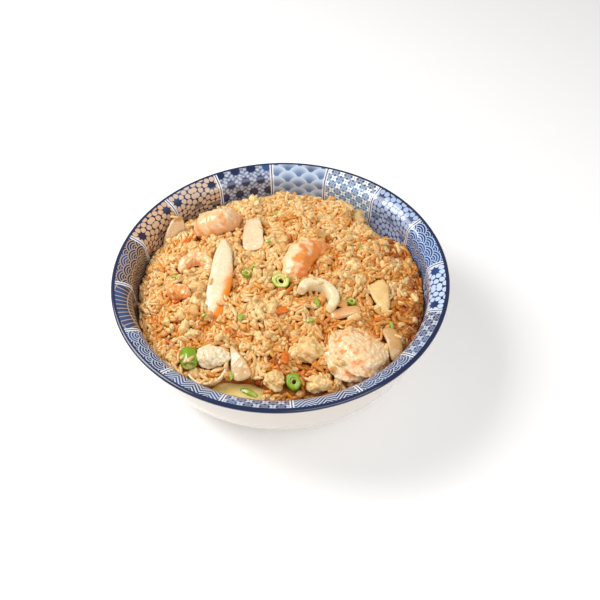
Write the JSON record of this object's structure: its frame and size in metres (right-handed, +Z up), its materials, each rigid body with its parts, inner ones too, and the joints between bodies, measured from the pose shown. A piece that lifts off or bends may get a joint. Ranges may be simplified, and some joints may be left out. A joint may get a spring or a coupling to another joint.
{
  "type": "bowl of fried rice",
  "caption": "Fried rice with shrimp, squid, egg, onion and spring onion, heaped in a wide round ceramic bowl with a turned-out rim and a foot ring.",
  "frame": {"origin": "on the table, under the middle of the bowl's foot ring", "axes": "+Z up, +Y to the back of the bowl, +X to its right as it is served"},
  "size_m": [0.2, 0.2, 0.0674],
  "materials": {
    "glazed_bowl": "gloss glaze, white outside, blue and white printed bands inside",
    "fried_rice": "moist, lightly oiled grains",
    "shrimp": "moist, satin",
    "squid": "moist, satin",
    "bamboo": "moist, satin",
    "egg": "soft, matt",
    "onion": "moist, slightly clear",
    "scallion": "moist, satin"
  },
  "bodies": {
    "root": {"bowl": "glazed_bowl", "rice_heap": "fried_rice", "shrimp_back": "shrimp", "shrimp_centre": "shrimp", "shrimp_left": "shrimp", "shrimp_small": "shrimp", "shrimp_front": "shrimp", "long_slice": "bamboo", "flat_slice": "onion", "squid_ring": "squid", "squid_strip": "squid", "egg_fold": "egg", "egg_middle": "egg", "egg_left": "egg", "egg_right": "egg", "onion_chunk": "onion", "onion_arc": "onion", "onion_petal": "onion", "curl_slice": "onion", "wall_slice": "onion", "scallion_left": "scallion", "scallion_centre": "scallion", "scallion_front": "scallion"}
  },
  "joints": []
}
